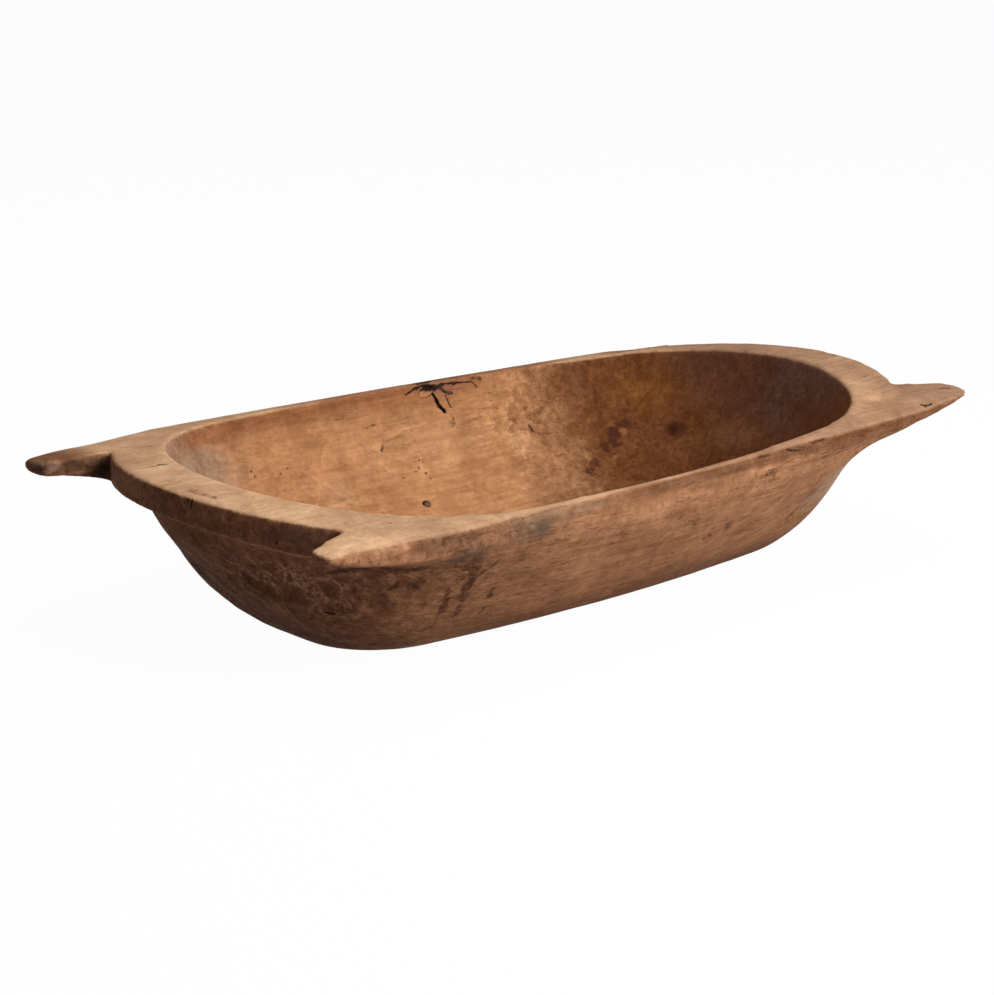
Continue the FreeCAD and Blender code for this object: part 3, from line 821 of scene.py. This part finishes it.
def facet_edges(s, place):
    """Distance from the edges of the adze's facets, which are longer than wide and lean to the front."""
    wobble = s.product(s.noise(place, 75, 4, 0.6), 1.6)
    leaning = s.add("Mapping", vector_type="TEXTURE")
    s.feed(leaning.inputs["Vector"], place)
    leaning.inputs["Rotation"].default_value = (-0.45, -0.4, 0)
    leaning.inputs["Scale"].default_value = (0.021, 0.020, 0.031)
    moved = s.add("VectorMath", operation="ADD")
    s.feed(moved.inputs[0], leaning.outputs[0])
    s.feed(moved.inputs[1], wobble)
    facets = s.add("TexVoronoi", feature="DISTANCE_TO_EDGE")
    s.feed(facets.inputs["Vector"], moved.outputs[0])
    facets.inputs["Scale"].default_value = 1.0
    return facets.outputs["Distance"]


Grain = namedtuple("Grain", "streak fibre dash cluster mottle fleck crumb")


def wood_grain(s, place):
    """The noises that the wood's colour and relief are made of."""
    return Grain(
        streak=s.noise(s.stretch(place, (6, 170, 170)), 1.0, 5, 0.6, 0.3),
        fibre=s.noise(s.stretch(place, (40, 800, 800), (3, 1, 2)), 1.0, 3, 0.6),
        dash=s.noise(s.stretch(place, (55, 300, 300), (5, 4, 7)), 1.0, 4, 0.62, 1.2),
        cluster=s.noise(place, 14, 4, 0.6, 0.5),
        mottle=s.noise(place, 24, 8, 0.66, 0.3),
        fleck=s.noise(place, 150, 4, 0.6),
        crumb=s.noise(place, 330, 4, 0.65, 0.5),
    )


def wood_tone(s, place, grain):
    """How dark or light the wood is: grain, rings, scraping marks and speckles, each where it shows."""
    vertical = s.noise(s.stretch(place, (150, 150, 9), (2, 6, 1)), 1.0, 4, 0.6, 0.4)
    speckle = s.noise(place, 95, 6, 0.72, 0.8)
    late_wood = s.math("SUBTRACT", 1.0, year_rings(s, place))

    def swing(value, amount, field_name):
        """1 on average, further from it where the named field is strong."""
        strength = s.product(s.attribute(field_name), amount)
        return s.math("MULTIPLY_ADD", s.math("SUBTRACT", value, 0.5), strength, 1.0)

    return s.product(
        s.math("MULTIPLY_ADD", grain.mottle, 1.3, 0.35),
        swing(grain.streak, 1.0, "grain"),
        swing(vertical, 1.1, "scrape"),
        swing(speckle, 2.2, "speckle"),
        swing(late_wood, 0.42, "figure"),
        s.math("MULTIPLY_ADD", grain.fleck, 0.5, 0.75),
    )


# Colours that lie on the wood, as linear red, green, blue and alpha.
WORN_WOOD = (0.5, 0.31, 0.19, 1)
# Dark brown of grime, also used as painted shade in creases, under the left end's ledge and in the right of
# the hollow.
GRIME_AND_SHADE = (0.085, 0.04, 0.023, 1)
# Pale colour of the facets' ridges, a painted highlight.
FACET_RIDGE_HIGHLIGHT = (0.52, 0.30, 0.175, 1)
# Brown of the stains, also used for the painted shadow under the front left horn.
STAIN_AND_SHADOW = (0.058, 0.017, 0.009, 1)
CRACK = (0.016, 0.011, 0.009, 1)
# Old dry wood hardly shines.
WOOD_SHINE = 0.04


def weathered(s, grain, colour, pores):
    """A colour with pale fibres, worn edges, dark pores, and grime with painted shade."""
    pale = s.product(s.attribute("grain"), s.span(grain.fibre, 0.52, 0.75, 0, 0.25))
    colour = s.mix(pale, colour, s.toned(colour, 1.5))
    worn = s.product(s.attribute("worn"), s.span(grain.fleck, 0.35, 0.6), 0.45)
    colour = s.mix(worn, colour, WORN_WOOD)
    colour = s.mix(pores, colour, s.toned(colour, 0.35))
    grime_and_shade = s.math("ADD", s.attribute("grime_and_shade"), s.around_zero(grain.mottle, 1.6))
    return s.mix(s.span(grime_and_shade, 0.3, 0.8, 0, 0.55), colour, GRIME_AND_SHADE)


def faceted(s, grain, colour, edge, pit):
    """A colour with the adze's facets: dark in their middles, pale and broken along their ridges as a painted
    highlight.
    """
    colour = s.mix(pit, colour, s.toned(colour, 0.55))
    ridge_highlight = s.product(
        s.attribute("facets"),
        s.span(s.math("ADD", grain.fleck, grain.crumb), 0.85, 1.15),
        s.span(edge, 0.02, 0.13, 0.85, 0),
        s.span(grain.mottle, 0.4, 0.58),
    )
    return s.mix(ridge_highlight, colour, FACET_RIDGE_HIGHLIGHT)


def marked(s, grain, colour, black):
    """A colour with pale scars, ragged stains, a painted shadow drawn like a stain, and black cracks."""
    colour = s.mix(s.product(s.attribute("scar"), 0.6), colour, s.toned(colour, 1.4))
    ragged = s.math("ADD", s.around_zero(grain.fleck, 1.5), s.around_zero(grain.mottle, 0.9))
    ragged = s.math("ADD", ragged, s.around_zero(grain.crumb, 0.9))
    near_stain_and_shadow = s.span(s.attribute("stain_and_shadow"), 0, 0.2)
    stain_and_shadow = s.math("ADD", s.attribute("stain_and_shadow"), s.product(ragged, near_stain_and_shadow))
    colour = s.mix(s.span(stain_and_shadow, 0.2, 0.85, 0, 0.85), colour, STAIN_AND_SHADOW)
    return s.mix(s.product(black, 0.97), colour, CRACK)


def wood_material():
    s = Shader("hewn_wood")
    place = s.add("TexCoord").outputs["Object"]
    grain = wood_grain(s, place)
    pores = s.product(
        s.attribute("pores"), s.span(grain.cluster, 0.34, 0.56), s.span(grain.dash, 0.54, 0.64, 0, 0.7)
    )
    edge = facet_edges(s, place)
    pit = s.product(s.attribute("facets"), s.span(edge, 0.1, 0.42, 0, 0.75))
    crack = s.math("ADD", s.attribute("crack"), s.around_zero(grain.fleck, 0.8))
    crack = s.math("ADD", crack, s.around_zero(grain.crumb, 0.9))
    black = s.span(crack, 0.3, 0.6)

    colour = s.toned(s.attribute("tint", "Color"), wood_tone(s, place, grain))
    colour = weathered(s, grain, colour, pores)
    colour = faceted(s, grain, colour, edge, pit)
    colour = marked(s, grain, colour, black)
    s.feed(s.bsdf.inputs["Base Color"], colour)
    s.feed(s.bsdf.inputs["Roughness"], s.span(grain.mottle, 0.35, 0.65, 0.65, 0.85))
    s.bsdf.inputs["Specular IOR Level"].default_value = WOOD_SHINE

    height = s.math("MULTIPLY_ADD", grain.streak, 0.6, s.product(grain.fibre, 0.25))
    height = s.math("MULTIPLY_ADD", grain.mottle, 0.7, height)
    for depth in (s.product(pores, 0.5), s.product(pit, 1.2), black):
        height = s.math("SUBTRACT", height, depth)
    s.bump(height, 0.5, 0.0016)
    return s.material


def dress_trough():
    trough = even_mesh("trough_body", "trough", VOXEL)
    hew(trough.data)
    thin_out(trough, TRIANGLES)
    mesh = trough.data
    refine_beside_marks(mesh)
    shade = carve_marks(mesh)
    paint(mesh, shade)
    set_points(mesh, twisted(points_of(mesh)))
    shade_smooth(mesh)
    mesh.materials.append(wood_material())
    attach(trough, "root")
    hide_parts("trough_body")


# Half the height, in metres, over which a knot's heart turns to bark.
BARK_BLEND = 0.004


def knot_material(name, heart, bark, bark_from):
    """End grain of a small branch: its heart, cracked and blackened, with more bark above a height."""
    s = Shader(name)
    place = s.add("TexCoord").outputs["Object"]
    coarse = s.noise(place, 160, 5, 0.65)
    fine = s.noise(place, 700, 4, 0.6)
    parts = s.add("SeparateXYZ")
    s.feed(parts.inputs[0], place)
    more_bark = s.span(parts.outputs["Z"], bark_from - BARK_BLEND, bark_from + BARK_BLEND, -0.2, 0.3)
    bark_share = s.span(s.math("ADD", coarse, more_bark), 0.38, 0.6)
    colour = s.mix(bark_share, heart, bark)
    colour = s.toned(colour, s.math("MULTIPLY_ADD", fine, 1.2, 0.4))
    s.feed(s.bsdf.inputs["Base Color"], colour)
    s.feed(s.bsdf.inputs["Roughness"], s.span(fine, 0.3, 0.7, 0.6, 0.9))
    s.bsdf.inputs["Specular IOR Level"].default_value = WOOD_SHINE
    s.bump(s.math("MULTIPLY_ADD", coarse, 0.7, s.product(fine, 0.3)), 0.8, 0.0015)
    return s.material


# Colours of each knot's heart and bark, and the height in metres above which it is mostly bark.
KNOT_LOOKS = {
    "wall_knot": ((0.40, 0.175, 0.08, 1), (0.012, 0.008, 0.007, 1), 0.170),
    "pin_knot": ((0.14, 0.08, 0.05, 1), (0.028, 0.019, 0.015, 1), 0.0545),
}


def dress_knots():
    for node, (heart, bark, bark_from) in KNOT_LOOKS.items():
        knot = even_mesh(node, node + "_wood", KNOT_VOXEL)
        mesh = knot.data
        p, edges = points_of(mesh), edges_of(mesh)
        p = eased(p, edges, np.full(len(p), 0.5), 2)
        set_points(mesh, p)
        rough = 0.35 * noise(p, (4, 4, 4), SEED_KNOT, 2) - 0.1
        set_points(mesh, twisted(p + normals_of(mesh) * rough[:, None]))
        shade_smooth(mesh)
        mesh.materials.append(knot_material(node + "_wood", heart, bark, bark_from))
        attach(knot, "root")
        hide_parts(node)


# Camera of the photograph: its place in metres, heading and dip in radians, and its lens.
CAMERA_AT = (-1.8727, -2.0633, 0.8679)
HEADING = 0.7266
DIP = 0.2698
FOCAL_PIXELS = 2500
SENSOR = 36
IMAGE_HEIGHT = 995
LENS = FOCAL_PIXELS * SENSOR / IMAGE_HEIGHT
ahead = Vector((math.sin(HEADING), math.cos(HEADING), 0))
aside = Vector((math.cos(HEADING), -math.sin(HEADING), 0))
up = Vector((0, 0, 1))


# The floor's colour as light bounces off it and as it is seen, and how much of what is seen is plain white.
FLOOR_BOUNCE = (0.5, 0.49, 0.48, 1)
FLOOR_SEEN = (0.95, 0.95, 0.95, 1)
FLOOR_GLOW = 0.975
# Strength of the even light from all round.
AMBIENT = 0.01


def pale_floor():
    """A floor that the camera sees as white, with a faint shadow, and that throws little light back."""
    bpy.ops.mesh.primitive_plane_add(size=80)
    floor = bpy.context.object
    floor.name = "floor"
    s = Shader("pale_floor")
    path = s.add("LightPath")
    seen = s.math("MAXIMUM", path.outputs["Is Camera Ray"], path.outputs["Is Glossy Ray"])
    seen = s.math("MAXIMUM", seen, path.outputs["Is Transmission Ray"])
    matt = s.add("BsdfDiffuse")
    s.feed(matt.inputs["Color"], s.mix(seen, FLOOR_BOUNCE, FLOOR_SEEN))
    mixed_shader = s.add("MixShader")
    s.feed(mixed_shader.inputs[0], s.product(seen, FLOOR_GLOW))
    s.feed(mixed_shader.inputs[1], matt.outputs[0])
    s.feed(mixed_shader.inputs[2], s.add("Emission").outputs[0])
    s.feed(s.tree.nodes["Material Output"].inputs["Surface"], mixed_shader.outputs[0])
    floor.data.materials.append(s.material)


def studio_world(level):
    """Even dim light from all round, white where the camera looks past the floor."""
    world = bpy.data.worlds.new("studio")
    scene.world = world
    world.use_nodes = True
    tree = world.node_tree
    background = tree.nodes["Background"]
    background.inputs["Color"].default_value = (1, 1, 1, 1)
    path = tree.nodes.new("ShaderNodeLightPath")
    seen = path.outputs["Is Camera Ray"]
    for kind in ("Is Glossy Ray", "Is Transmission Ray"):
        either = tree.nodes.new("ShaderNodeMath")
        either.operation = "MAXIMUM"
        tree.links.new(seen, either.inputs[0])
        tree.links.new(path.outputs[kind], either.inputs[1])
        seen = either.outputs[0]
    strength = tree.nodes.new("ShaderNodeMapRange")
    tree.links.new(seen, strength.inputs["Value"])
    strength.inputs["To Min"].default_value = level
    strength.inputs["To Max"].default_value = 1.0
    tree.links.new(strength.outputs[0], background.inputs["Strength"])


def softbox(name, place, aim, side, watts):
    light = bpy.data.lights.new(name, "AREA")
    light.shape = "SQUARE"
    light.size = side
    light.energy = watts
    lamp = link(bpy.data.objects.new(name, light))
    lamp.location = place
    lamp.rotation_mode = "QUATERNION"
    lamp.rotation_quaternion = (Vector(place) - Vector(aim)).to_track_quat("Z", "Y")


def studio_light():
    studio_world(AMBIENT)
    softbox("overhead", up * 3.0 + aside * 0.3, aim=(0, 0, 0), side=3.0, watts=55)
    softbox("key", aside * 3.0 - ahead * 1.5 + up * 2.0, aim=(0, 0, 0.1), side=1.8, watts=150)


def photo_camera():
    data = bpy.data.cameras.new("photo")
    data.lens = LENS
    data.sensor_width = SENSOR
    camera = link(bpy.data.objects.new("photo", data))
    camera.location = CAMERA_AT
    look = ahead * math.cos(DIP) - up * math.sin(DIP)
    camera.rotation_mode = "QUATERNION"
    camera.rotation_quaternion = look.to_track_quat("-Z", "Y")
    scene.camera = camera


dress_trough()
dress_knots()
pale_floor()
studio_light()
photo_camera()
